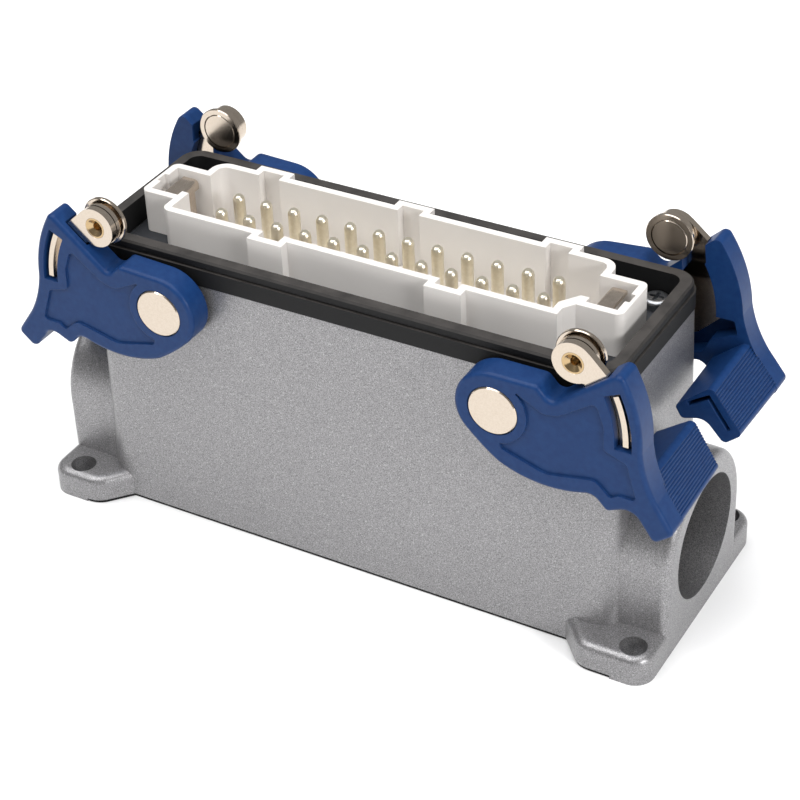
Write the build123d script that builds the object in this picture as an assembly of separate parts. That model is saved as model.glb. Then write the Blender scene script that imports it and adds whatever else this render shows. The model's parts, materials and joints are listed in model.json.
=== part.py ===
from build123d import *
import math
import os

# Heavy duty rectangular connector: a surface mounted die-cast housing with a cable entry
# at each end, a 24 pole male insert and four locking levers with rollers.
# X runs along the housing, -Y is the front long face, +Z is up, and the feet stand on Z = 0.

# Contact field
pole_count = 12
pole_pitch = 6.6
row_spacing = 6.45
pin_radius = 1.25
pin_tip_radius = 0.65
pin_tip_length = 1.3
pin_tip_drop = 1.8

# Housing shell
shell_length = 120.6
shell_width = 41.6
shell_corner = 5.5
shell_height = 59.2
shell_draft = 1.456
shell_wall = 2.6
cavity_corner = 3.0

# Cable entry boss at each end, measured out from the end wall
boss_length = {"right": 9.3, "left": 11.2}
boss_radius = 17.4
boss_flare = 0.4
boss_root_depth = 6.0
boss_edge = 1.8
entry_radius = 12.9
entry_height = 18.7

# Mounting feet, measured out from the long wall and in from the end of the boss
foot_thickness = 6.4
foot_width = 6.1
foot_length = {"right": 19.9, "left": 17.8}
foot_corner = 4.2
foot_sweep = 5.4
foot_sweep_round = 5.0
foot_edge = 2.0
foot_hole_out = 4.8
foot_hole_inset = 4.1
foot_hole_radius = 2.75

# Seals
base_seal_thickness = 0.8
base_seal_out = 1.7
base_seal_inset = 0.35
base_seal_band = 4.2
rim_seal_height = 5.8
rim_seal_band = 2.5
rim_lip_height = 1.7
rim_lip_groove = 0.35
rim_seal_corner = 4.6
tongue_width = 0.9
tongue_height = 2.2
tongue_clearance = 0.05

# Insert
insert_rise = 9.5
flange_thickness = 3.0
flange_rise = 0.2
flange_gap = 0.45
frame_gap = 0.05
end_block_margin = 2.05
end_pocket_length = 8.0
chamber_half_width = 10.9
chamber_depth = 13.1
shroud_wall = 1.6
chamber_round = 3.4
bump_width = 8.0
bump_rise = 2.1
front_bumps = (-19.8, 19.8)
back_bumps = (-32.8, 0.0, 32.8)
key_cut = 2.9
key_drop = 2.4
key_slope = 4.0
end_block_half_width = 6.3
pocket_depth = 11.7
neck_half_width = 3.9
terminal_block_depth = 18.0
terminal_block_half_width = 12.6
terminal_block_gap = 0.7
terminal_end_half_width = 8.0
insert_screw_inset = 2.75
insert_screw_end_inset = 3.75
insert_screw_radius = 1.5
screw_head_radius = 2.7
screw_head_height = 1.9
screw_length = 9.0
pillar_radius = 3.7
pillar_depth = 16.0

# Contacts behind the chamber floor
collar_radius = 1.9
collar_length = 3.0
barrel_radius = 2.5
barrel_depth = 12.5
wire_bore_radius = 1.3
wire_bore_depth = 8.0
clamp_screw_radius = 1.5
clamp_screw_drop = 11.0
clamp_hole_radius = 2.3

# Protective earth springs
spring_thickness = 0.8
spring_width = 7.8
spring_tab = 3.6
spring_drop = 1.2
spring_side_gap = 0.9
spring_end_gap = 0.1
earth_screw_radius = 1.45
earth_head_radius = 1.9
earth_head_gap = 0.2
earth_head_height = 1.3
earth_screw_length = 6.0

# Levers
pivot_setback = 23.1
pivot_drop = 4.3
lever_clearance = 1.4
lever_thickness = 5.5
lever_plate = 1.7
hub_radius = 8.1
end_wall_radius = 29.8
end_wall = 2.1
lever_edge = 0.9
panel_hub_radius = 7.0
panel_recess = 0.5
window_inner = 24.6
window_outer = 28.0
window_low = -1.5
window_high = 24.5
grip_gap = 3.6
rib_count = 14
rib_depth = 0.12
lever_raise = {"front_right": 0.0, "front_left": 2.8, "back_right": 5.2, "back_left": 2.0}

# Lever arm, rollers and rivets
arm_thickness = 1.5
arm_gap = 0.1
arm_end_gap = 0.4
roller_u = 15.4
roller_w = 14.1
arm_lobe_radius = 4.2
roller_radius = 4.3
roller_flange_radius = 5.0
roller_width = 2.4
roller_flange = 0.9
roller_groove = 0.5
roller_pin_radius = 1.6
roller_head_radius = 3.7
roller_head_height = 0.5
rivet_head_radius = 5.05
rivet_head_height = 1.2
rivet_proud = 0.15
rivet_shank_radius = 2.5
rivet_tail_radius = 3.4
rivet_tail_height = 1.2
pivot_boss_radius = 4.2
running_gap = 0.08
slip_gap = 0.15
fit_gap = 0.03

draft_slope = math.tan(math.radians(shell_draft))


def shell_half(size, height):
    """Half length or half width of the drafted shell at a height."""
    return size / 2 - height * draft_slope


# Sizes that follow from the ones above
foot_half_width = shell_width / 2 + foot_width
foot_hole_x = shell_length / 2 + foot_hole_out
foot_hole_y = foot_half_width - foot_hole_inset
base_seal_reach = shell_length / 2 + base_seal_out
insert_top = shell_height + insert_rise
chamber_floor = insert_top - chamber_depth
pocket_floor = insert_top - pocket_depth
pin_tip_height = insert_top - pin_tip_drop
flange_top = shell_height + flange_rise
flange_bottom = flange_top - flange_thickness
flange_half_length = shell_half(shell_length, shell_height) - shell_wall - flange_gap
flange_half_width = shell_half(shell_width, shell_height) - shell_wall - flange_gap
end_block_reach = flange_half_length - end_block_margin
chamber_half_length = end_block_reach - end_pocket_length
insert_screw_x = flange_half_length - insert_screw_end_inset
insert_screw_y = flange_half_width - insert_screw_inset
terminal_block_half_length = insert_screw_x - pillar_radius - terminal_block_gap
pocket_end = end_block_reach - shroud_wall
spring_start = chamber_half_length + spring_side_gap
earth_screw_x = pocket_end - earth_head_radius - earth_head_gap
pivot_x = shell_length / 2 - pivot_setback
pivot_z = shell_height - pivot_drop
lever_inner = shell_half(shell_width, pivot_z) + lever_clearance
lever_outer = lever_inner + lever_thickness
arm_outer = lever_outer - lever_plate - arm_gap
arm_inner = arm_outer - arm_thickness
arm_reach = end_wall_radius - end_wall - arm_end_gap
pocket_inner = arm_inner - arm_gap


def polar(radius, angle):
    return (radius * math.cos(math.radians(angle)), radius * math.sin(math.radians(angle)))


def sector(inner, outer, low, high):
    """Ring sector about the origin."""
    a, b = polar(outer, low), polar(outer, high)
    c, d = polar(inner, high), polar(inner, low)
    middle = (low + high) / 2
    return make_face(Curve() + [
        ThreePointArc(a, polar(outer, middle), b), Line(b, c),
        ThreePointArc(c, polar(inner, middle), d), Line(d, a)])


def slab(face, near, far):
    """Extrude a face drawn in X and Z between two distances in front of the middle plane."""
    return extrude(Plane.XZ.offset(near) * face, far - near)


def polygon(*points):
    return make_face(Polyline(*points, close=True))


def round_at(face, corners):
    """Round the corners of a face that lie nearest to the given points."""
    for point, radius in corners:
        corner = min(face.vertices(), key=lambda v: (v.X - point[0]) ** 2 + (v.Y - point[1]) ** 2)
        face = fillet(corner, radius)
    return face


def box_between(low, high):
    size = [b - a for a, b in zip(low, high)]
    return Pos(*low) * Box(*size, align=(Align.MIN, Align.MIN, Align.MIN))


def both_ends(part):
    return part + mirror(part, about=Plane.YZ)


def four_corners(part):
    half = both_ends(part)
    return half + mirror(half, about=Plane.XZ)


# Housing

def foot_plan(side):
    """Plan of the front foot at one end, sweeping out from the long face; drawn as for the right."""
    wall = shell_width / 2
    reach = shell_length / 2 + boss_length[side]
    start = reach - foot_length[side]
    knee = (start + foot_sweep, -foot_half_width)
    outer = (reach, -foot_half_width)
    root = start - foot_sweep / 2
    face = polygon((root, 0), (root, -wall + 0.5), (start - 0.4, -wall + 0.5), knee, outer, (reach, 0))
    return round_at(face, [(knee, foot_sweep_round), (outer, foot_corner)])


def foot(side):
    body = extrude(foot_plan(side), foot_thickness)
    top = body.faces().sort_by(Axis.Z)[-1]
    reach = shell_length / 2 + boss_length[side]
    rim = [e for e in top.edges() if e.center().Y < -shell_width / 2 or e.center().X > reach - 0.1]
    body = fillet(rim, foot_edge)
    return body + mirror(body, about=Plane.XZ)


def arch(radius, height):
    """End outline of the cable entry boss: an arch that stands on the base."""
    leg = Pos(0, height / 2) * Rectangle(2 * radius, height)
    return leg + Pos(0, height) * Circle(radius)


def entry_boss(side):
    reach = shell_length / 2 + boss_length[side]
    root = shell_half(shell_length, shell_height) - boss_root_depth
    inner = Plane.YZ.offset(root) * arch(boss_radius + boss_flare, entry_height)
    outer = Plane.YZ.offset(reach) * arch(boss_radius, entry_height)
    boss = loft([inner.face(), outer.face()])
    end = boss.faces().sort_by(Axis.X)[-1]
    rim = [e for e in end.edges() if e.center().Z > 1]
    return fillet(rim, boss_edge)


def tongue_ring(clearance):
    """Ridge along the middle of the rim that holds the seal."""
    length = 2 * shell_half(shell_length, shell_height) - shell_wall
    width = 2 * shell_half(shell_width, shell_height) - shell_wall
    spread = tongue_width + 2 * clearance
    corner = cavity_corner + shell_wall / 2
    outer = RectangleRounded(length + spread, width + spread, corner)
    return outer - RectangleRounded(length - spread, width - spread, corner - spread)


def housing():
    body = extrude(RectangleRounded(shell_length, shell_width, shell_corner), shell_height, taper=shell_draft)
    body += foot("right") + entry_boss("right")
    body += mirror(foot("left") + entry_boss("left"), about=Plane.YZ)

    cavity = extrude(
        RectangleRounded(shell_length - 2 * shell_wall, shell_width - 2 * shell_wall, cavity_corner),
        shell_height + 1, taper=shell_draft)
    body -= cavity
    body += Pos(0, 0, shell_height - 0.5) * extrude(tongue_ring(0), tongue_height + 0.5)

    pillar = Pos(insert_screw_x, -insert_screw_y, flange_bottom - pillar_depth) * Cylinder(
        pillar_radius, pillar_depth, align=(Align.CENTER, Align.CENTER, Align.MIN))
    body += four_corners(pillar)
    tapping = Pos(insert_screw_x, -insert_screw_y, flange_bottom - screw_length) * Cylinder(
        insert_screw_radius + fit_gap, screw_length + 1, align=(Align.CENTER, Align.CENTER, Align.MIN))
    body -= four_corners(tapping)

    entry_start = Plane.YZ.offset(shell_half(shell_length, shell_height) - 2 * shell_wall)
    entry = entry_start * Pos(0, entry_height) * Circle(entry_radius)
    body -= both_ends(extrude(entry, shell_length / 2))

    wall_at_pivot = shell_half(shell_width, pivot_z)
    pivot = slab(Pos(pivot_x, pivot_z) * Circle(pivot_boss_radius), wall_at_pivot - 1, arm_inner - arm_gap)
    body += four_corners(pivot)
    bore = slab(Pos(pivot_x, pivot_z) * Circle(rivet_shank_radius + fit_gap), wall_at_pivot - 5, lever_outer)
    seat = slab(Pos(pivot_x, pivot_z) * Circle(rivet_tail_radius + fit_gap), wall_at_pivot - 5,
                wall_at_pivot - shell_wall + rivet_tail_height)
    body -= four_corners(bore + seat)

    foot_hole = Pos(foot_hole_x, -foot_hole_y, 0) * Cylinder(foot_hole_radius, 4 * foot_thickness)
    body -= four_corners(foot_hole)
    rebate = box_between((-base_seal_reach, -foot_half_width - 1, -1),
                         (base_seal_reach, foot_half_width + 1, base_seal_thickness))
    return body - rebate


def base_seal():
    """Flat gasket under the walls, let into the rebate of the base."""
    right, left = foot_plan("right"), mirror(foot_plan("left"), about=Plane.YZ)
    outline = Rectangle(shell_length, shell_width) + right + left
    outline += mirror(right, about=Plane.XZ) + mirror(left, about=Plane.XZ)
    outline = offset(outline.face(), amount=-base_seal_inset)
    outline &= Rectangle(2 * base_seal_reach - 0.4, 2 * foot_half_width)
    band = 2 * base_seal_band
    outline -= RectangleRounded(shell_length - band, shell_width - band, cavity_corner)
    return extrude(outline, base_seal_thickness)


def seal_ring(grow):
    """Band along the rim of the shell, with its outer edge moved out by an amount."""
    half_length = shell_half(shell_length, shell_height) + grow
    half_width = shell_half(shell_width, shell_height) + grow
    band = rim_seal_band + grow + 0.15
    outer = RectangleRounded(2 * half_length, 2 * half_width, rim_seal_corner)
    inner = RectangleRounded(2 * (half_length - band), 2 * (half_width - band), rim_seal_corner - band)
    return outer - inner


def rim_seal():
    """Rubber profile on the rim of the shell, with a groove under its lip."""
    base_height = rim_seal_height - rim_lip_height - rim_lip_groove
    base = extrude(seal_ring(0.3), base_height)
    neck = extrude(seal_ring(-0.5), rim_seal_height)
    lip = Pos(0, 0, base_height + rim_lip_groove) * extrude(seal_ring(-0.05), rim_lip_height)
    lip = chamfer(lip.faces().sort_by(Axis.Z)[-1].outer_wire().edges(), 0.4)
    seal = Pos(0, 0, shell_height) * (base + neck + lip)
    return seal - Pos(0, 0, shell_height - 1) * extrude(tongue_ring(tongue_clearance), tongue_height + 1.1)


# Insert

def chamber_plan(inset):
    """Keyed outline of the contact chamber, inset by a wall."""
    half_length = chamber_half_length - inset
    half_width = chamber_half_width - inset
    cut = chamber_half_length - key_cut - inset
    drop = chamber_half_width - key_drop - inset
    face = polygon(
        (-half_length, -half_width), (cut, -half_width), (cut, -drop), (half_length, -drop + key_slope),
        (half_length, half_width), (-half_length, half_width))
    face = round_at(face, [((half_length, half_width), chamber_round - inset),
                           ((-half_length, half_width), chamber_round - inset),
                           ((-half_length, -half_width), 1.9 - inset)])
    for x in front_bumps:
        face += Pos(x, -half_width) * Rectangle(bump_width - 2 * inset, 2 * bump_rise)
    for x in back_bumps:
        face += Pos(x, half_width) * Rectangle(bump_width - 2 * inset, 2 * bump_rise)
    return face


def end_block_plan(inset):
    near = chamber_half_length - 2 * shroud_wall
    far = end_block_reach - inset
    half_width = end_block_half_width - inset
    face = Pos((near + far) / 2, 0) * Rectangle(far - near, 2 * half_width)
    corner = max(1.6 - inset, 0.3)
    return round_at(face, [((far, half_width), corner), ((far, -half_width), corner)])


def shroud_plan(inset):
    """Outline of the insert where it stands through its frame."""
    return chamber_plan(inset) + end_block_plan(inset) + mirror(end_block_plan(inset), about=Plane.YZ)


def insert_frame():
    """Cast frame around the insert, resting on the four pillars and on the terminal block."""
    plate = RectangleRounded(2 * flange_half_length, 2 * flange_half_width, cavity_corner - 0.5)
    frame = Pos(0, 0, flange_bottom) * extrude(plate - shroud_plan(-frame_gap), flange_thickness)
    hole = Cylinder(insert_screw_radius + 0.2, 3 * flange_thickness)
    return frame - four_corners(Pos(insert_screw_x, -insert_screw_y, flange_bottom) * hole)


def pin_places():
    for row, y in enumerate((-row_spacing / 2, row_spacing / 2)):
        for i in range(pole_count):
            yield row * pole_count + i + 1, (i - (pole_count - 1) / 2) * pole_pitch, y


def insert_body():
    block = Rectangle(2 * terminal_block_half_length, 2 * terminal_block_half_width)
    block += Rectangle(2 * end_block_reach, 2 * terminal_end_half_width)
    body = Pos(0, 0, flange_bottom - 1) * extrude(shroud_plan(0), insert_top - flange_bottom + 1)
    body += Pos(0, 0, flange_bottom - terminal_block_depth) * extrude(block, terminal_block_depth)

    body -= Pos(0, 0, chamber_floor) * extrude(chamber_plan(shroud_wall), insert_top)
    pocket_half = end_block_half_width - shroud_wall
    pocket = box_between((chamber_half_length, -pocket_half, pocket_floor),
                         (pocket_end, pocket_half, insert_top + 1))
    neck = box_between((chamber_half_length - 2 * shroud_wall, -neck_half_width + 0.8, pocket_floor),
                       (chamber_half_length + 0.1, neck_half_width + 0.8, insert_top + 1))
    notch = box_between((pocket_end - 0.1, -1.4, insert_top - 4), (pocket_end + 0.9, 1.4, insert_top + 1))
    earth_hole = Pos(earth_screw_x, 0, pocket_floor - earth_screw_length) * Cylinder(
        earth_screw_radius + fit_gap, earth_screw_length + 1, align=(Align.CENTER, Align.CENTER, Align.MIN))
    body -= both_ends(pocket + neck + notch + earth_hole)

    for _, x, y in pin_places():
        body -= pin_bore(x, y)
    return body


def pin_bore(x, y):
    """Stepped hole for one contact and the side window to its clamp screw."""
    low = flange_bottom - terminal_block_depth
    top = Pos(x, y, chamber_floor) * Cylinder(pin_radius + fit_gap, 8)
    collar = Pos(x, y, low) * Cylinder(
        collar_radius + fit_gap, chamber_floor - 2 - low, align=(Align.CENTER, Align.CENTER, Align.MIN))
    barrel = Pos(x, y, low - 1) * Cylinder(
        barrel_radius + fit_gap, chamber_floor - 2 - collar_length - low + 1,
        align=(Align.CENTER, Align.CENTER, Align.MIN))
    side = math.copysign(1, y)
    reach = terminal_block_half_width - abs(y) + 1
    window = Pos(x, y + side * reach / 2, chamber_floor - clamp_screw_drop) * Rot(90, 0, 0) * Cylinder(
        clamp_hole_radius, reach)
    return top + collar + barrel + window


def contact_pin(x, y):
    """Turned contact: rounded tip, shank, collar and a barrel that clamps the wire."""
    top = chamber_floor - 2
    barrel_top = top - collar_length
    shank = pin_tip_height - pin_tip_length
    profile = make_face(Curve() + [
        Line((0, barrel_top - barrel_depth), (barrel_radius, barrel_top - barrel_depth)),
        Line((barrel_radius, barrel_top - barrel_depth), (barrel_radius, barrel_top)),
        Line((barrel_radius, barrel_top), (collar_radius, barrel_top)),
        Line((collar_radius, barrel_top), (collar_radius, top)),
        Line((collar_radius, top), (pin_radius, top)),
        Line((pin_radius, top), (pin_radius, shank)),
        ThreePointArc((pin_radius, shank), (pin_radius - 0.22, pin_tip_height - 0.45),
                      (pin_tip_radius, pin_tip_height)),
        Line((pin_tip_radius, pin_tip_height), (0, pin_tip_height)),
        Line((0, pin_tip_height), (0, barrel_top - barrel_depth))])
    pin = revolve(Plane.XZ * profile, Axis.Z)
    pin -= Pos(0, 0, barrel_top - barrel_depth) * Cylinder(wire_bore_radius, 2 * wire_bore_depth)
    side = math.copysign(1, y)
    pin -= Pos(0, side * barrel_radius / 2, chamber_floor - clamp_screw_drop) * Rot(90, 0, 0) * Cylinder(
        clamp_screw_radius + fit_gap, barrel_radius + 1)
    return Pos(x, y, 0) * pin


def clamp_screws():
    """Slotted clamp screws of the contact barrels, one group of solids."""
    screws = []
    for _, x, y in pin_places():
        side = math.copysign(1, y)
        length = barrel_radius + 0.4
        screw = Cylinder(clamp_screw_radius, length, align=(Align.CENTER, Align.CENTER, Align.MIN))
        screw -= Pos(0, 0, length) * Box(0.6, 4, 1.2)
        screws.append(Pos(x, y + side * 0.4, chamber_floor - clamp_screw_drop) * Rot(-90 * side, 0, 0) * screw)
    return Compound(children=screws)


def pan_screw(head_radius, head_height, radius, length):
    """Pan head screw with a cross recess; its seat is at Z = 0."""
    head = Cylinder(head_radius, head_height, align=(Align.CENTER, Align.CENTER, Align.MIN))
    head = fillet(head.faces().sort_by(Axis.Z)[-1].edges(), head_height * 0.45)
    head += Pos(0, 0, -length) * Cylinder(radius, length + 0.1, align=(Align.CENTER, Align.CENTER, Align.MIN))
    slot = head_radius * 1.1
    for turn in (0, 90):
        head -= Pos(0, 0, head_height) * Rot(0, 0, turn) * Box(slot, head_radius * 0.28, head_height * 1.1)
    return head


def insert_screws():
    screw = pan_screw(screw_head_radius, screw_head_height, insert_screw_radius, screw_length)
    return Compound(children=[Pos(x, y, flange_top) * screw for x in (-insert_screw_x, insert_screw_x)
                              for y in (-insert_screw_y, insert_screw_y)])


def earth_screws():
    screw = pan_screw(earth_head_radius, earth_head_height, earth_screw_radius, earth_screw_length)
    seat = pocket_floor + spring_thickness
    return Compound(children=[Pos(side * earth_screw_x, 0, seat) * screw for side in (-1, 1)])


def earth_spring():
    """Folded strip in the right end pocket: top tab, tongue and a foot under the screw."""
    near = spring_start
    far = pocket_end - spring_end_gap
    top = insert_top - spring_drop
    t = spring_thickness
    face = polygon(
        (near, pocket_floor), (far, pocket_floor), (far, pocket_floor + t),
        (near + t, pocket_floor + t), (near + t, top - t), (near + spring_tab, top - t),
        (near + spring_tab, top), (near, top))
    face = round_at(face, [((near, pocket_floor), 1.0), ((near, top), 1.0)])
    strip = extrude(Plane.XZ.offset(-spring_width / 2) * face, spring_width)
    tongue = box_between((near - 1, -spring_width / 2 - 1, pocket_floor + 2),
                         (near + t + 0.1, -spring_width / 2 + 1.6, top - 2))
    strip -= tongue + mirror(tongue, about=Plane.XZ)
    hole = Pos(earth_screw_x, 0, pocket_floor) * Cylinder(earth_screw_radius + fit_gap, 4)
    return strip - hole


# Levers, drawn about the pivot: X outwards, Z up, and Y the distance from the middle plane

blade_shoulder = (9.0, hub_radius)
blade_valley = (11.8, 5.1)
blade_tip = polar(end_wall_radius, 31.6)
wall_foot = polar(end_wall_radius, -1.0)
blade_heel = (20.2, -12.3)
blade_belly = (1.0, -11.5)
# Corners of the grip bar at the lever face and at its free end, and the radius at each
grip_corners = [((22.6, -11.7), (22.5, -12.2), 0.9), ((30.3, -6.5), (30.4, -6.6), 1.2),
                ((36.6, -16.5), (36.1, -16.2), 1.1), ((32.6, -19.6), (32.2, -18.9), 1.1),
                ((28.2, -13.2), (28.5, -13.9), 3.0), ((23.1, -15.4), (23.7, -14.9), 0.9)]
grip_apex, grip_outer, grip_end, grip_arch, grip_tooth = [face for face, _, _ in grip_corners[1:]]


def grip_section(distance):
    """Section of the grip bar at a distance from the middle plane; it tapers to its free end."""
    along = (lever_outer - distance) / (lever_outer - grip_gap)
    places = [(a[0] + along * (b[0] - a[0]), a[1] + along * (b[1] - a[1])) for a, b, _ in grip_corners]
    face = round_at(polygon(*places), [(place, corner[2]) for place, corner in zip(places, grip_corners)])
    return Plane.XZ.offset(distance) * face


def grip_edge(distance):
    """The two ends of the ribbed side of the grip bar at a distance from the middle plane."""
    along = (lever_outer - distance) / (lever_outer - grip_gap)
    return [(a[0] + along * (b[0] - a[0]), a[1] + along * (b[1] - a[1])) for a, b, _ in grip_corners[1:3]]


def blade_plan():
    """Outline of the lever seen from the front."""
    middle = (grip_apex[0] + 0.42 * (grip_outer[0] - grip_apex[0]),
              grip_apex[1] + 0.42 * (grip_outer[1] - grip_apex[1]))
    hub_low = polar(hub_radius, 217)
    face = make_face(Curve() + [
        Line((0, 0), (0, hub_radius)),
        Line((0, hub_radius), blade_shoulder),
        Line(blade_shoulder, blade_valley),
        Line(blade_valley, blade_tip),
        ThreePointArc(blade_tip, polar(end_wall_radius, 15), wall_foot),
        ThreePointArc(wall_foot, (30.7, -5.3), middle),
        Line(middle, grip_outer),
        Line(grip_outer, grip_end),
        Line(grip_end, grip_arch),
        Line(grip_arch, grip_tooth),
        Line(grip_tooth, blade_heel),
        ThreePointArc(blade_heel, (10.8, -13.9), blade_belly),
        ThreePointArc(blade_belly, (-3.3, -8.1), hub_low),
        Line(hub_low, (0, 0))])
    face += Circle(hub_radius)
    return round_at(face, [(blade_shoulder, 1.5), (blade_valley, 1.8), (blade_tip, 1.3), (wall_foot, 4.0),
                           (middle, 3.0), (grip_outer, 1.2), (grip_end, 1.2), (grip_arch, 3.0), (grip_tooth, 1.0),
                           (blade_heel, 2.5), (blade_belly, 6.0), (hub_low, 3.0)])


def hollow_plan():
    """Hollow behind the face plate, where the arm lies, inside the rim of the lever."""
    rim = hub_radius - end_wall
    reach = end_wall_radius - end_wall
    top = polar(reach, 26.8)
    low = polar(reach, -2.0)
    face = make_face(Curve() + [
        Line((0, 0), (0, rim)),
        Line((0, rim), (8.1, rim)),
        Line((8.1, rim), (11.6, 2.5)),
        Line((11.6, 2.5), top),
        ThreePointArc(top, polar(reach, 12), low),
        Line(low, (28.4, -5.4)),
        Line((28.4, -5.4), (22.6, -7.6)),
        Line((22.6, -7.6), (20.8, -10.6)),
        ThreePointArc((20.8, -10.6), (11.0, -11.7), (2.0, -9.6)),
        ThreePointArc((2.0, -9.6), (-1.6, -7.2), polar(rim, 217)),
        Line(polar(rim, 217), (0, 0))])
    return face + Circle(rim)


def panel_plan():
    """Recessed field on the lever face, between the hub, the window and the grip."""
    corners = [((10.4, 2.4), 3.0), ((13.4, 3.0), 2.0), ((20.8, 8.1), 0.9), ((22.4, 3.4), 2.0), ((22.4, -1.6), 1.0),
               ((27.0, -3.3), 1.0), ((29.2, -11.0), 0.8), ((25.4, -10.9), 0.8), ((23.8, -11.9), 0.7),
               ((20.8, -9.0), 2.0), ((10.8, -10.9), 6.0), ((1.6, -8.0), 1.0), ((0, 0), 0), ((5.0, 5.4), 0)]
    face = polygon(*[point for point, _ in corners])
    face = round_at(face, [(point, radius) for point, radius in corners if radius])
    return face - Circle(panel_hub_radius)


def lever_body():
    """Moulded lever: face plate with a raised border, rim, arm pocket and ribbed grip."""
    outline = blade_plan().face()
    body = slab(outline, lever_inner, lever_outer)
    body = fillet(body.faces().sort_by(Axis.Y)[0].edges(), lever_edge)
    body += loft([grip_section(lever_inner + 1), grip_section(grip_gap)])

    body -= slab(panel_plan(), lever_outer - panel_recess, lever_outer + 1)

    hollow = hollow_plan()
    body -= slab(hollow, pocket_inner, lever_outer - lever_plate)
    cheek = sector(window_inner - 0.4, end_wall_radius + 2, window_low - 3.5, window_high + 9)
    body -= slab(hollow - cheek, lever_inner - 1, pocket_inner)
    mouth = polygon((17.6, 6.0), (22.6, 9.5), (22.6, 18), (17.6, 14))
    body -= slab(mouth, lever_inner - 1, lever_outer - lever_plate)

    body -= slab(sector(window_inner, window_outer, window_low, window_high), pocket_inner, lever_outer + 1)
    body -= slab(Circle(rivet_shank_radius + running_gap), lever_inner, lever_outer + 1)
    body -= slab(Circle(rivet_head_radius + slip_gap), lever_outer + rivet_proud - rivet_head_height - slip_gap,
                 lever_outer + 1)
    body -= grip_core()
    for groove in grip_ribs():
        body -= groove
    return body


def grip_core():
    """Thin L shaped slot in the end of the grip."""
    width = 0.9
    path = Polyline((25.2, -11.3), (29.6, -9.0), (33.4, -15.6))
    return slab(trace(path, line_width=width), grip_gap - 1, grip_gap + 14)


def grip_ribs():
    """Grooves along the outer side of the grip, following its taper."""
    start = 1.4
    for i in range(rib_count):
        ends = []
        for distance in (grip_gap - 1, lever_inner + 0.5):
            (ax, az), (bx, bz) = grip_edge(distance)
            length = math.hypot(bx - ax, bz - az)
            pitch = (length - 2 * start) / (rib_count - 1)
            along = (start + i * pitch) / length
            place = Pos(ax + along * (bx - ax), az + along * (bz - az))
            turn = Rot(0, 0, math.degrees(math.atan2(bz - az, bx - ax)))
            ends.append(Plane.XZ.offset(distance) * place * turn * Rectangle(0.45 * pitch, 2 * rib_depth))
        yield loft([end.face() for end in ends])


def lever_arm():
    """Nickel plated steel plate inside the lever, with the roller lobe and a raised edge."""
    top = polar(arm_reach, 24)
    low = polar(arm_reach, -2)
    plate = make_face(Curve() + [
        Line((0, 0), (0, 5.3)),
        Line((0, 5.3), (8.2, 5.3)),
        Line((8.2, 5.3), (11.7, 1.8)),
        Line((11.7, 1.8), (17.8, 6.3)),
        Line((17.8, 6.3), (17.8, 10.3)),
        Line((17.8, 10.3), (14.2, 10.3)),
        Line((14.2, 10.3), (roller_u, roller_w)),
        Line((roller_u, roller_w), (18.6, 16.9)),
        Line((18.6, 16.9), (22.2, 13.2)),
        Line((22.2, 13.2), (22.2, 10.0)),
        Line((22.2, 10.0), top),
        ThreePointArc(top, polar(arm_reach, 12), low),
        Line(low, (19.2, -7.6)),
        Line((19.2, -7.6), (13.5, -9.3)),
        Line((13.5, -9.3), (2.0, -5.0)),
        Line((2.0, -5.0), (0, 0))])
    plate += Circle(5.5)
    plate += Pos(roller_u, roller_w) * Circle(arm_lobe_radius)
    plate -= Circle(rivet_shank_radius + running_gap)
    arm = slab(plate, arm_inner, arm_outer)
    edge = sector(arm_reach - 1.3, arm_reach - 0.2, window_low + 1.5, window_high - 1.5)
    arm += slab(edge, arm_inner, arm_outer + 1.2)
    place = Pos(roller_u, roller_w)
    arm -= slab(place * Circle(roller_pin_radius + fit_gap), arm_inner - 1, arm_outer + 1)
    sink = loft([Plane.XZ.offset(arm_outer - 0.6) * place * Circle(roller_pin_radius + fit_gap),
                 Plane.XZ.offset(arm_outer + 0.01) * place * Circle(roller_pin_radius + 0.65)])
    return arm - sink


def about_roller(profile):
    """Turn a profile of (radius, distance from the middle plane) about the roller axis."""
    turned = revolve(Plane.XY * polygon(*[(r, -d) for r, d in profile]), Axis.Y)
    return Pos(roller_u, 0, roller_w) * turned


def lever_roller():
    """Grooved roller with a flange on its inner side."""
    far = arm_inner - slip_gap
    near = far - roller_width
    bore = roller_pin_radius + running_gap
    neck = roller_radius - 0.7
    first = far - (roller_width - roller_flange - roller_groove)
    return about_roller([
        (bore, far), (roller_radius, far), (roller_radius, first), (neck, first),
        (neck, near + roller_flange), (roller_flange_radius - 0.15, near + roller_flange),
        (roller_flange_radius, near + roller_flange - 0.15), (roller_flange_radius, near + 0.15),
        (roller_flange_radius - 0.15, near), (roller_head_radius + slip_gap, near),
        (roller_head_radius + slip_gap, near + roller_head_height + slip_gap / 2),
        (bore, near + roller_head_height + slip_gap / 2)])


def roller_pin():
    """Rivet of the roller: flat head flush with the flange and a hollow flared end."""
    far = arm_inner - slip_gap
    near = far - roller_width
    flare = roller_pin_radius + 0.6
    hollow = 0.85
    return about_roller([
        (0, near), (roller_head_radius - 0.15, near), (roller_head_radius, near + 0.12),
        (roller_head_radius, near + roller_head_height), (roller_pin_radius, near + roller_head_height),
        (roller_pin_radius, arm_outer - 0.62), (flare, arm_outer), (flare - 0.35, arm_outer + 0.05),
        (hollow, arm_outer - 0.7), (hollow, arm_outer - 2.0), (0, arm_outer - 2.0)])


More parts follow.
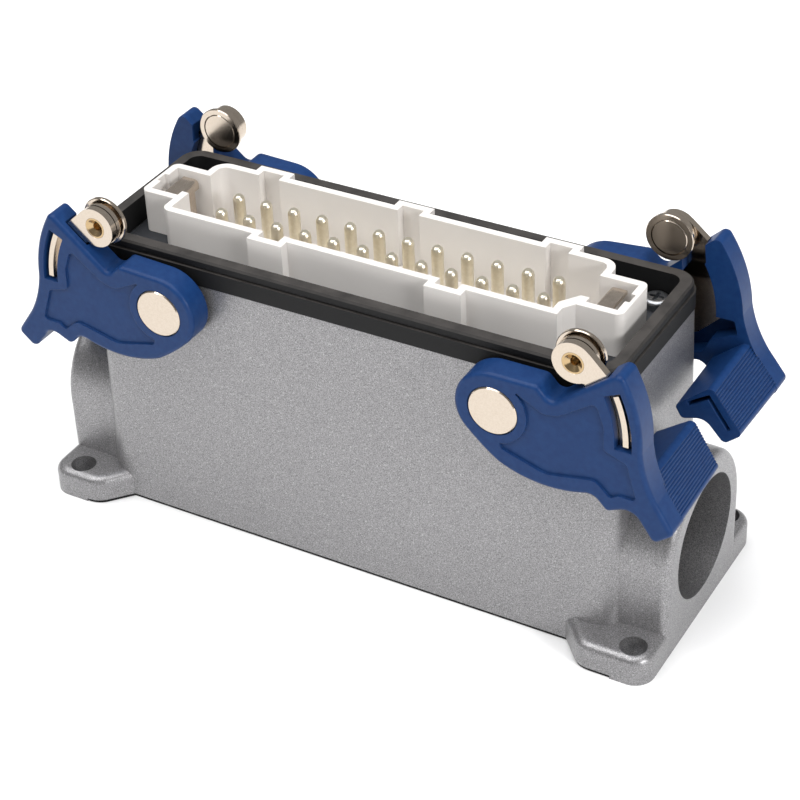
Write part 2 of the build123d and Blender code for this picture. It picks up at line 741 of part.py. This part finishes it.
def pivot_rivet():
    """Flat headed rivet that holds the lever to the long wall."""
    wall_inner = shell_half(shell_width, pivot_z) - shell_wall
    face = lever_outer + rivet_proud
    under = face - rivet_head_height
    tail = wall_inner + rivet_tail_height
    profile = [(0, wall_inner), (rivet_tail_radius, wall_inner), (rivet_tail_radius, tail - fit_gap),
               (rivet_shank_radius, tail - fit_gap), (rivet_shank_radius, under), (rivet_head_radius, under),
               (rivet_head_radius, face - 0.2), (rivet_head_radius - 0.2, face), (0, face)]
    return revolve(Plane.XY * polygon(*[(r, -d) for r, d in profile]), Axis.Y)


def place_lever(part, corner, raised):
    """Move a piece of the front right lever to one of the four corners."""
    if raised:
        part = part.rotate(Axis.Y, -lever_raise[corner])
    part = Pos(pivot_x, 0, pivot_z) * part
    if corner.endswith("left"):
        part = mirror(part, about=Plane.YZ)
    if corner.startswith("back"):
        part = mirror(part, about=Plane.XZ)
    return part


def save(part, name):
    export_step(part, os.path.join("parts", name + ".step"))


def main():
    os.makedirs("parts", exist_ok=True)
    save(housing(), "housing")
    save(base_seal(), "base_seal")
    save(rim_seal(), "rim_seal")
    save(insert_body(), "insert_body")
    save(insert_frame(), "insert_frame")
    save(insert_screws(), "insert_screws")
    save(clamp_screws(), "clamp_screws")
    save(earth_screws(), "earth_screws")
    spring = earth_spring()
    save(spring, "earth_spring_right")
    save(mirror(spring, about=Plane.YZ), "earth_spring_left")
    for number, x, y in pin_places():
        save(contact_pin(x, y), f"contact_pin_{number:02d}")
    pieces = {"lever": lever_body(), "arm": lever_arm(), "roller": lever_roller(), "roller_pin": roller_pin()}
    rivet = pivot_rivet()
    for corner in lever_raise:
        for name, part in pieces.items():
            save(place_lever(part, corner, True), f"{corner}_{name}")
        save(place_lever(rivet, corner, False), f"{corner}_pivot_rivet")


main()
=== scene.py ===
import json
import math
import bpy
from mathutils import Matrix, Vector

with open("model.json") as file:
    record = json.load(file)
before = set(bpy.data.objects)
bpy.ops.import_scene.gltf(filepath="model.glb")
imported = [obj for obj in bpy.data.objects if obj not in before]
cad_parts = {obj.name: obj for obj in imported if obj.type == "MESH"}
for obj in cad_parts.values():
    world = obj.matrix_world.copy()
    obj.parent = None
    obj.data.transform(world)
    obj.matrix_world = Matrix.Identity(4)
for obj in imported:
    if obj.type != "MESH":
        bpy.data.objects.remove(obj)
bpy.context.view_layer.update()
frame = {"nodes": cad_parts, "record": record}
nodes = frame["nodes"]
mm = 0.001
# Sockets of a Mix node that mixes colours. Its sockets share their names, so they are taken by number.
mixFactor, mixFirst, mixSecond, mixedColour = 0, 6, 7, 2
print("frame loaded,", len(nodes), "nodes")


def linearColour(hexText):
    channels = [int(hexText[i:i + 2], 16) / 255 for i in (0, 2, 4)]
    return [c / 12.92 if c <= 0.04045 else ((c + 0.055) / 1.055) ** 2.4 for c in channels] + [1.0]


def addNode(tree, kind, settings=None, links=None):
    node = tree.nodes.new(kind)
    for key, value in (settings or {}).items():
        if isinstance(key, str) and hasattr(node, key):
            setattr(node, key, value)
        else:
            node.inputs[key].default_value = value
    for key, socket in (links or {}).items():
        tree.links.new(socket, node.inputs[key])
    return node


def newMaterial(name, settings):
    material = bpy.data.materials.new(name)
    material.use_nodes = True
    tree = material.node_tree
    tree.nodes.clear()
    shader = addNode(tree, "ShaderNodeBsdfPrincipled", settings)
    addNode(tree, "ShaderNodeOutputMaterial", links={"Surface": shader.outputs[0]})
    place = addNode(tree, "ShaderNodeTexCoord").outputs["Object"]
    return material, tree, shader, place


# Silver hammer-effect enamel on the die casting, stoved: metal flakes in a grey lacquer mirror the floor
# softly and make the sheen sparkle faintly, so the walls look pebbled. The real flakes are too fine to
# show, so they are drawn 0.2 mm wide, which is about one pixel.
castEnamel = {
    "colour": "a3a2a3", "shade": "69686a", "flake": "d2d2d2",
    "grain": 0.2 * mm, "ripple": 1.1 * mm, "relief": 0.02 * mm, "strength": 0.6,
    "shadeBelow": 0.3, "colourAbove": 0.7,  # the noise seldom goes past these, so they stretch its middle
    "flakesPerGrain": 0.9, "glintFrom": 0.8, "glintMost": 0.55,
    "rippleShare": 0.5,  # height of the ripple against that of the grain
    "roughness": 0.37, "metallic": 0.65,
    "tilt": (0.55, 0.35, 0.2),  # a wall along the grid of the noise would show faint bands
}


def makeCastEnamel():
    look = castEnamel
    material, tree, shader, place = newMaterial("silverHammerEnamel", {
        "Metallic": look["metallic"], "Roughness": look["roughness"]})
    tilted = addNode(tree, "ShaderNodeMapping", {"Rotation": look["tilt"]}, {"Vector": place}).outputs[0]
    grain = addNode(tree, "ShaderNodeTexNoise", {"Scale": 1 / look["grain"], "Detail": 1.5},
                    {"Vector": tilted})
    ripple = addNode(tree, "ShaderNodeTexNoise", {"Scale": 1 / look["ripple"], "Detail": 2.0},
                     {"Vector": tilted})
    patch = addNode(tree, "ShaderNodeMapRange",
                    {"From Min": look["shadeBelow"], "From Max": look["colourAbove"]},
                    {"Value": grain.outputs[0]})
    base = addNode(tree, "ShaderNodeMix",
                   {"data_type": "RGBA", mixFirst: linearColour(look["shade"]),
                    mixSecond: linearColour(look["colour"])},
                   {mixFactor: patch.outputs[0]})
    flakes = addNode(tree, "ShaderNodeTexVoronoi", {"Scale": look["flakesPerGrain"] / look["grain"]},
                     {"Vector": tilted})
    glint = addNode(tree, "ShaderNodeMapRange",
                    {"From Min": look["glintFrom"], "From Max": 1.0, "To Max": look["glintMost"]},
                    {"Value": flakes.outputs["Color"]})
    colour = addNode(tree, "ShaderNodeMix",
                     {"data_type": "RGBA", mixSecond: linearColour(look["flake"])},
                     {mixFactor: glint.outputs[0], mixFirst: base.outputs[mixedColour]})
    tree.links.new(colour.outputs[mixedColour], shader.inputs["Base Color"])
    height = addNode(tree, "ShaderNodeMath", {"operation": "MULTIPLY_ADD", 1: look["rippleShare"]},
                     {0: ripple.outputs[0], 2: grain.outputs[0]})
    bump = addNode(tree, "ShaderNodeBump", {"Strength": look["strength"], "Distance": look["relief"]},
                   {"Height": height.outputs[0]})
    tree.links.new(bump.outputs[0], shader.inputs["Normal"])
    return material


# Raw cast zinc of the insert frame: dull, cloudy where the melt cooled, with a sandy skin. Its grey is drawn
# much darker than the metal's, as painted shade in the recess between the insert and the seal. The sand is
# drawn 0.3 mm wide, because the real one is too fine to show.
frameZincWithPaintedShade = {
    "colour": "4a4c50", "dull": "3a3c40",
    "cloud": 2.4 * mm, "grain": 0.3 * mm, "relief": 0.012 * mm, "strength": 0.5,
    "roughness": 0.52, "metallic": 0.85,
}


def makeFrameZincWithPaintedShade():
    look = frameZincWithPaintedShade
    material, tree, shader, place = newMaterial("castZincWithPaintedShade", {
        "Metallic": look["metallic"], "Roughness": look["roughness"]})
    cloud = addNode(tree, "ShaderNodeTexNoise", {"Scale": 1 / look["cloud"], "Detail": 4.0},
                    {"Vector": place})
    grain = addNode(tree, "ShaderNodeTexNoise", {"Scale": 1 / look["grain"], "Detail": 2.0},
                    {"Vector": place})
    # painted shade: both colours are darker than the zinc, for the recess that the frame lies in
    colour = addNode(tree, "ShaderNodeMix",
                     {"data_type": "RGBA", mixFirst: linearColour(look["dull"]),
                      mixSecond: linearColour(look["colour"])},
                     {mixFactor: cloud.outputs[0]})
    tree.links.new(colour.outputs[mixedColour], shader.inputs["Base Color"])
    bump = addNode(tree, "ShaderNodeBump", {"Strength": look["strength"], "Distance": look["relief"]},
                   {"Height": grain.outputs[0]})
    tree.links.new(bump.outputs[0], shader.inputs["Normal"])
    return material


# Moulded nitrile rubber: near black, with a painted sheen in streaks that greys the faces lit from above.
# The skin of the mould is drawn with a grain 0.45 mm wide, because the real one is too fine to show.
rimRubber = {
    "colour": "0c0c0d", "sheenGrey": "3e3b39",
    "grain": 0.45 * mm, "streak": 4.0 * mm, "relief": 0.02 * mm, "strength": 0.5,
    "sheenFrom": 0.3, "sheenFull": 0.95, "sheenMost": 0.9,  # by how far a face looks up, 1 is level
    "streakFull": 0.6,
    "roughness": 0.62, "ior": 1.52, "specular": 0.25,
}


def makeRimRubber():
    look = rimRubber
    material, tree, shader, place = newMaterial("mouldedNitrileRubber", {
        "Roughness": look["roughness"], "IOR": look["ior"], "Specular IOR Level": look["specular"]})
    grain = addNode(tree, "ShaderNodeTexNoise", {"Scale": 1 / look["grain"], "Detail": 3.0},
                    {"Vector": place})
    streak = addNode(tree, "ShaderNodeTexNoise", {"Scale": 1 / look["streak"], "Detail": 3.0},
                     {"Vector": place})
    normal = addNode(tree, "ShaderNodeNewGeometry").outputs["Normal"]
    upward = addNode(tree, "ShaderNodeSeparateXYZ", links={0: normal}).outputs["Z"]
    # painted sheen: faces that look up are drawn greyer, as if lit from above, and noise breaks this into
    # streaks
    upwardSheen = addNode(tree, "ShaderNodeMapRange",
                  {"From Min": look["sheenFrom"], "From Max": look["sheenFull"],
                   "To Max": look["sheenMost"]},
                  {"Value": upward})
    mottle = addNode(tree, "ShaderNodeMapRange", {"From Min": 0.0, "From Max": look["streakFull"]},
                     {"Value": streak.outputs[0]})
    paintedSheenStreaks = addNode(tree, "ShaderNodeMath", {"operation": "MULTIPLY"},
                   {0: upwardSheen.outputs[0], 1: mottle.outputs[0]})
    colour = addNode(tree, "ShaderNodeMix",
                     {"data_type": "RGBA", mixFirst: linearColour(look["colour"]),
                      mixSecond: linearColour(look["sheenGrey"])},
                     {mixFactor: paintedSheenStreaks.outputs[0]})
    tree.links.new(colour.outputs[mixedColour], shader.inputs["Base Color"])
    bump = addNode(tree, "ShaderNodeBump", {"Strength": look["strength"], "Distance": look["relief"]},
                   {"Height": grain.outputs[0]})
    tree.links.new(bump.outputs[0], shader.inputs["Normal"])
    return material


# Moulded light grey polycarbonate: an even satin skin, warm white where its thin rims catch the light. The
# texture of the mould is drawn 0.6 mm wide, because the real one is too fine to show.
insertPlastic = {
    "colour": "e0dcd8", "shade": "d8d4d0",
    "cloud": 9 * mm, "grain": 0.6 * mm, "relief": 0.006 * mm, "strength": 0.35,
    "edge": 0.22 * mm,  # the mould leaves every edge slightly round
    "glow": 0.06, "glowDepth": 0.6 * mm, "glowSpread": (0.8, 0.75, 0.7),
    "roughness": 0.36, "ior": 1.58,
}
edgeSamples = 4  # rays that round off an edge, here and on the levers


def makeInsertPlastic():
    look = insertPlastic
    material, tree, shader, place = newMaterial("mouldedGreyPolycarbonate", {
        "Roughness": look["roughness"], "IOR": look["ior"], "Subsurface Weight": look["glow"],
        "Subsurface Radius": look["glowSpread"], "Subsurface Scale": look["glowDepth"]})
    cloud = addNode(tree, "ShaderNodeTexNoise", {"Scale": 1 / look["cloud"], "Detail": 2.0},
                    {"Vector": place})
    grain = addNode(tree, "ShaderNodeTexNoise", {"Scale": 1 / look["grain"], "Detail": 2.0},
                    {"Vector": place})
    colour = addNode(tree, "ShaderNodeMix",
                     {"data_type": "RGBA", mixFirst: linearColour(look["shade"]),
                      mixSecond: linearColour(look["colour"])},
                     {mixFactor: cloud.outputs[0]})
    tree.links.new(colour.outputs[mixedColour], shader.inputs["Base Color"])
    edge = addNode(tree, "ShaderNodeBevel", {"samples": edgeSamples, "Radius": look["edge"]})
    bump = addNode(tree, "ShaderNodeBump", {"Strength": look["strength"], "Distance": look["relief"]},
                   {"Height": grain.outputs[0], "Normal": edge.outputs[0]})
    tree.links.new(bump.outputs[0], shader.inputs["Normal"])
    return material


# Moulded glass-filled polyamide, dyed blue: the glass fibres mottle it faintly, and the spark-eroded mould
# gives it a satin skin. That grain is drawn 0.3 mm wide, because the real one is too fine to show.
leverPlastic = {
    "colour": "122f5c", "pale": "173664",
    "fibre": 1.2 * mm, "grain": 0.3 * mm, "relief": 0.006 * mm, "strength": 0.5,
    "fibreFrom": 0.3, "fibreFull": 0.7,
    "edge": 0.25 * mm,
    "roughness": 0.37, "ior": 1.53, "specular": 0.15,
}


def makeLeverPlastic():
    look = leverPlastic
    material, tree, shader, place = newMaterial("mouldedBluePolyamide", {
        "Roughness": look["roughness"], "IOR": look["ior"], "Specular IOR Level": look["specular"]})
    fibre = addNode(tree, "ShaderNodeTexNoise", {"Scale": 1 / look["fibre"], "Detail": 3.0},
                    {"Vector": place})
    grain = addNode(tree, "ShaderNodeTexNoise", {"Scale": 1 / look["grain"], "Detail": 2.0},
                    {"Vector": place})
    mottle = addNode(tree, "ShaderNodeMapRange",
                     {"From Min": look["fibreFrom"], "From Max": look["fibreFull"]},
                     {"Value": fibre.outputs[0]})
    colour = addNode(tree, "ShaderNodeMix",
                     {"data_type": "RGBA", mixFirst: linearColour(look["colour"]),
                      mixSecond: linearColour(look["pale"])},
                     {mixFactor: mottle.outputs[0]})
    tree.links.new(colour.outputs[mixedColour], shader.inputs["Base Color"])
    edge = addNode(tree, "ShaderNodeBevel", {"samples": edgeSamples, "Radius": look["edge"]})
    bump = addNode(tree, "ShaderNodeBump", {"Strength": look["strength"], "Distance": look["relief"]},
                   {"Height": grain.outputs[0], "Normal": edge.outputs[0]})
    tree.links.new(bump.outputs[0], shader.inputs["Normal"])
    return material


# Plated metals. Each has its bright and its dull colour, the width of the marks that its finishing left, the
# roughness that they vary between, and how deep they are. The real marks are hairlines, and are drawn wider
# because those are too fine to show.
platedMetals = {
    # Nickel plate on tumbled steel: a warm, nearly clean mirror of the dark and pale parts of the room
    "tumbledNickelPlate": {
        "colour": "c8bcae", "dull": "c2b5a6", "marks": 0.35 * mm, "relief": 0.001 * mm,
        "low": 0.1, "high": 0.2},
    # Nickel plate rolled thin on spring strip: less of a mirror, so the strip catches the light from above
    "rolledSpringStrip": {
        "colour": "c9bdb0", "dull": "c2b6a9", "marks": 1.2 * mm, "relief": 0.0005 * mm,
        "low": 0.2, "high": 0.27},
    # Nickel plate on the roller pins: flaring wore it off their outer ends, so the cups there look gold.
    # The plate wears through between these distances from the middle plane of the connector.
    "flaredNickelPlate": {
        "colour": "c8bcae", "dull": "c2b5a6", "marks": 0.4 * mm, "relief": 0.001 * mm,
        "low": 0.14, "high": 0.24, "worn": "b99f78", "wornFrom": 21.8 * mm, "wornTo": 22.2 * mm},
    # Zinc plate on the screws: cooler and duller, so the cross recess reads dark
    "zincPlatedSteel": {
        "colour": "9fa1a4", "dull": "888a8e", "marks": 0.3 * mm, "relief": 0.003 * mm,
        "low": 0.24, "high": 0.4},
    # Silver plate on turned brass: a pale soft sheen with a trace of warm tarnish
    "turnedSilverPlate": {
        "colour": "ece5d3", "dull": "e4dcc8", "marks": 0.8 * mm, "relief": 0.0005 * mm,
        "low": 0.3, "high": 0.36},
}
plateMarks = {"dullBelow": 0.35, "brightAbove": 0.65, "strength": 0.2}  # the same for every plated metal


def makePlatedMetal(name):
    look = platedMetals[name]
    material, tree, shader, place = newMaterial(name, {"Metallic": 1.0})
    marks = addNode(tree, "ShaderNodeTexNoise", {"Scale": 1 / look["marks"], "Detail": 3.0},
                    {"Vector": place})
    cloud = addNode(tree, "ShaderNodeMapRange",
                    {"From Min": plateMarks["dullBelow"], "From Max": plateMarks["brightAbove"]},
                    {"Value": marks.outputs[0]})
    colour = addNode(tree, "ShaderNodeMix",
                     {"data_type": "RGBA", mixFirst: linearColour(look["dull"]),
                      mixSecond: linearColour(look["colour"])},
                     {mixFactor: cloud.outputs[0]})
    rough = addNode(tree, "ShaderNodeMapRange", {"To Min": look["low"], "To Max": look["high"]},
                    {"Value": marks.outputs[0]})
    bump = addNode(tree, "ShaderNodeBump",
                   {"Strength": plateMarks["strength"], "Distance": look["relief"]},
                   {"Height": marks.outputs[0]})
    if "worn" in look:
        across = addNode(tree, "ShaderNodeSeparateXYZ", links={0: place}).outputs["Y"]
        outward = addNode(tree, "ShaderNodeMath", {"operation": "ABSOLUTE"}, {0: across})
        worn = addNode(tree, "ShaderNodeMapRange",
                       {"From Min": look["wornFrom"], "From Max": look["wornTo"]},
                       {"Value": outward.outputs[0]})
        colour = addNode(tree, "ShaderNodeMix",
                         {"data_type": "RGBA", mixSecond: linearColour(look["worn"])},
                         {mixFactor: worn.outputs[0], mixFirst: colour.outputs[mixedColour]})
    tree.links.new(colour.outputs[mixedColour], shader.inputs["Base Color"])
    tree.links.new(rough.outputs[0], shader.inputs["Roughness"])
    tree.links.new(bump.outputs[0], shader.inputs["Normal"])
    return material


finishes = {
    "die_cast_alloy": makeCastEnamel(),
    "cast_zinc": makeFrameZincWithPaintedShade(),
    "seal_rubber": makeRimRubber(),
    "insert_plastic": makeInsertPlastic(),
    "lever_plastic": makeLeverPlastic(),
    "nickel_steel": makePlatedMetal("tumbledNickelPlate"),
    "zinc_steel": makePlatedMetal("zincPlatedSteel"),
    "silver_brass": makePlatedMetal("turnedSilverPlate"),
}
# These small parts share a slot with others and get their own look, by the words in their names
ownFinishes = {
    "earth_spring": makePlatedMetal("rolledSpringStrip"),
    "roller_pin": makePlatedMetal("flaredNickelPlate"),
}
print("materials made,", len(finishes) + len(ownFinishes))


def dressNodes():
    for part in frame["record"]["subparts"]:
        node = nodes[part["node"]]
        finish = finishes[part["material_slot"]]
        for words, ownFinish in ownFinishes.items():
            if words in part["node"]:
                finish = ownFinish
        node.data.materials.clear()
        node.data.materials.append(finish)


dressNodes()
print("CAD nodes dressed")


# The floor is pale matt paper under a strong light from above, so it prints white and the casting mirrors it
studioFloor = {"reach": 3.0, "colour": "f5f5f5", "roughness": 0.85}


def makeFloor():
    reach = studioFloor["reach"]
    corners = [(-reach, -reach, 0), (reach, -reach, 0), (reach, reach, 0), (-reach, reach, 0)]
    mesh = bpy.data.meshes.new("studioFloor")
    mesh.from_pydata(corners, [], [(0, 1, 2, 3)])
    floor = bpy.data.objects.new("studioFloor", mesh)
    bpy.context.scene.collection.objects.link(floor)
    material = newMaterial("paleStudioPaper", {
        "Roughness": studioFloor["roughness"], "Base Color": linearColour(studioFloor["colour"])})[0]
    mesh.materials.append(material)


# The room is dim, a little brighter behind the part than in front of it
room = {"front": 0.26, "back": 0.36, "depth": 0.7}


def makeWorld():
    world = bpy.data.worlds.new("studioRoom")
    world.use_nodes = True
    tree = world.node_tree
    background = tree.nodes["Background"]
    background.inputs["Color"].default_value = (1, 1, 1, 1)
    direction = addNode(tree, "ShaderNodeTexCoord").outputs["Generated"]
    depth = addNode(tree, "ShaderNodeSeparateXYZ", links={0: direction}).outputs["Y"]
    strength = addNode(tree, "ShaderNodeMapRange",
                       {"From Min": -room["depth"], "From Max": room["depth"],
                        "To Min": room["front"], "To Max": room["back"]},
                       {"Value": depth})
    tree.links.new(strength.outputs[0], background.inputs["Strength"])
    bpy.context.scene.world = world


# The softbox lights the floor and the tops, and two small lamps at the front left and the right draw the
# highlights along the edges. Sizes and places are in metres and powers in watts.
lamps = {
    "overheadSoftbox": {"size": 1.7, "power": 26.0, "place": (-0.1, -0.15, 1.25)},
    "frontLamp": {"size": 0.25, "power": 1.3, "place": (-0.55, -0.62, 0.8)},
    "sideLamp": {"size": 0.32, "power": 5.2, "place": (0.9, -0.3, 0.42)},
}
lampAim = Vector((0, 0, 0.04))  # the middle of the part


def makeLamp(name, lamp):
    data = bpy.data.lights.new(name, "AREA")
    data.shape = "DISK"
    data.size = lamp["size"]
    data.energy = lamp["power"]
    light = bpy.data.objects.new(name, data)
    light.location = lamp["place"]
    light.rotation_euler = (lampAim - Vector(lamp["place"])).to_track_quat("-Z", "Y").to_euler()
    bpy.context.scene.collection.objects.link(light)


# The photograph's view, fitted to the contacts and the edges of the housing: lens and sensor in
# millimetres, angles in degrees, shifts in picture widths, and the rest in metres
photo = {
    "lens": 99.37, "sensor": 36.0, "shiftX": 0.0046, "shiftY": -0.0193,
    "azimuth": 31.21, "elevation": 34.57, "roll": -2.72,
    "place": (0.1934, -0.3175, 0.2892), "farthest": 20.0,
}


def makeCamera():
    data = bpy.data.cameras.new("photoCamera")
    data.sensor_width = photo["sensor"]
    data.lens = photo["lens"]
    data.shift_x = photo["shiftX"]
    data.shift_y = photo["shiftY"]
    data.clip_end = photo["farthest"]
    camera = bpy.data.objects.new("photoCamera", data)
    azimuth, elevation, roll = (math.radians(photo[key]) for key in ("azimuth", "elevation", "roll"))
    back = Vector((math.sin(azimuth) * math.cos(elevation), -math.cos(azimuth) * math.cos(elevation),
                   math.sin(elevation)))
    right = Vector((math.cos(azimuth), math.sin(azimuth), 0))
    up = back.cross(right)
    across = right * math.cos(roll) + up * math.sin(roll)
    upward = up * math.cos(roll) - right * math.sin(roll)
    turn = Matrix((across, upward, back)).transposed().to_4x4()
    camera.matrix_world = Matrix.Translation(photo["place"]) @ turn
    bpy.context.scene.collection.objects.link(camera)
    bpy.context.scene.camera = camera


makeFloor()
makeWorld()
for lampName, lamp in lamps.items():
    makeLamp(lampName, lamp)
makeCamera()
bpy.context.scene.view_settings.view_transform = "Standard"  # pale grey stays as pale as it is lit
print("studio made")
